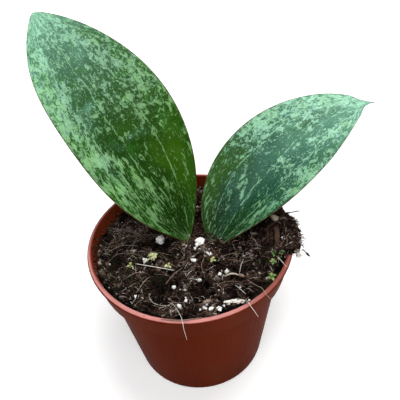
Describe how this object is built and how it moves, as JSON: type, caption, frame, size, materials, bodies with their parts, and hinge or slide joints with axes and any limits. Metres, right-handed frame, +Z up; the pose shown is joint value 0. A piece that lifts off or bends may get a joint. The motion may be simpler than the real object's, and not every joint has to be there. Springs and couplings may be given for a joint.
{
  "type": "potted hoya",
  "caption": "Young hoya cutting with long silver-splashed leaves, in dark peat with perlite, in a small round terracotta-coloured plastic nursery pot.",
  "frame": {"origin": "centre of the underside of the pot, on the surface it stands on", "axes": "+Z up along the axis of the pot, -Y towards the front, from where the taller leaf leans back to the left and the shorter one to the right"},
  "size_m": [0.166, 0.1189, 0.1832],
  "materials": {
    "pot_plastic": "satin",
    "peat": "matte",
    "leaf": "satin",
    "stem": "matte",
    "perlite": "matte",
    "dry_bits": "matte",
    "seedling": "satin"
  },
  "bodies": {
    "root": {"pot": "pot_plastic", "soil": "peat", "soil_heap": "peat", "stem": "stem", "leaf_left": "leaf", "leaf_right": "leaf", "perlite_01": "perlite", "perlite_02": "perlite", "perlite_03": "perlite", "perlite_04": "perlite", "perlite_05": "perlite", "perlite_06": "perlite", "perlite_07": "perlite", "perlite_08": "perlite", "perlite_09": "perlite", "perlite_10": "perlite", "perlite_11": "perlite", "perlite_12": "perlite", "perlite_13": "perlite", "perlite_14": "perlite", "perlite_15": "perlite", "seedling_01": "seedling", "seedling_02": "seedling", "seedling_03": "seedling", "seedling_04": "seedling", "seedling_05": "seedling", "seedling_06": "seedling", "dry_stalk": "dry_bits", "dark_twig": "dry_bits", "grey_stick": "dry_bits", "root_front_left": "dry_bits", "root_front_right": "dry_bits", "straw_on_rim": "dry_bits", "root_over_rim": "dry_bits", "root_right_low": "dry_bits", "root_right_high": "dry_bits", "bark_strip": "dry_bits", "wood_splinter": "dry_bits", "tan_chip": "dry_bits", "pale_seed": "dry_bits"}
  },
  "joints": []
}
